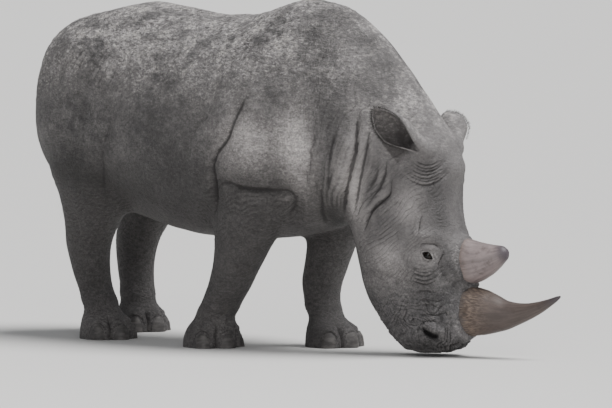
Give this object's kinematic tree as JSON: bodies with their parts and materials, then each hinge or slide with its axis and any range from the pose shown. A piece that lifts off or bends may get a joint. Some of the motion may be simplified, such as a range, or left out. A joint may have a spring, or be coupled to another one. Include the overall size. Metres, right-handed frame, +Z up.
{
  "type": "white rhinoceros",
  "caption": "Life-size still model of a white rhinoceros grazing: head hanging to the ground and turned a little to its left, two horns pointing forward.",
  "frame": {"origin": "middle of the bounding box in plan, at the level of the soles", "axes": "+X the way the trunk faces, +Y the animal's left side, +Z up"},
  "size_m": [3.1788, 0.9558, 1.7089],
  "materials": {
    "skin": "matte, wrinkled, dusty",
    "horn": "fibrous, worn smooth towards the tip",
    "eye": "wet gloss",
    "nail": "dull, dusty"
  },
  "bodies": {
    "root": {"head": "skin", "neck": "skin", "trunk": "skin", "leg_front_right": "skin", "leg_front_left": "skin", "leg_hind_right": "skin", "leg_hind_left": "skin", "tail": "skin", "ear_right": "skin", "ear_left": "skin", "horn_front": "horn", "horn_rear": "horn", "eye_right": "eye", "eye_left": "eye", "nail_front_right_outer": "nail", "nail_front_right_middle": "nail", "nail_front_right_inner": "nail", "nail_front_left_outer": "nail", "nail_front_left_middle": "nail", "nail_front_left_inner": "nail", "nail_hind_right_outer": "nail", "nail_hind_right_middle": "nail", "nail_hind_right_inner": "nail", "nail_hind_left_outer": "nail", "nail_hind_left_middle": "nail", "nail_hind_left_inner": "nail"}
  },
  "joints": []
}
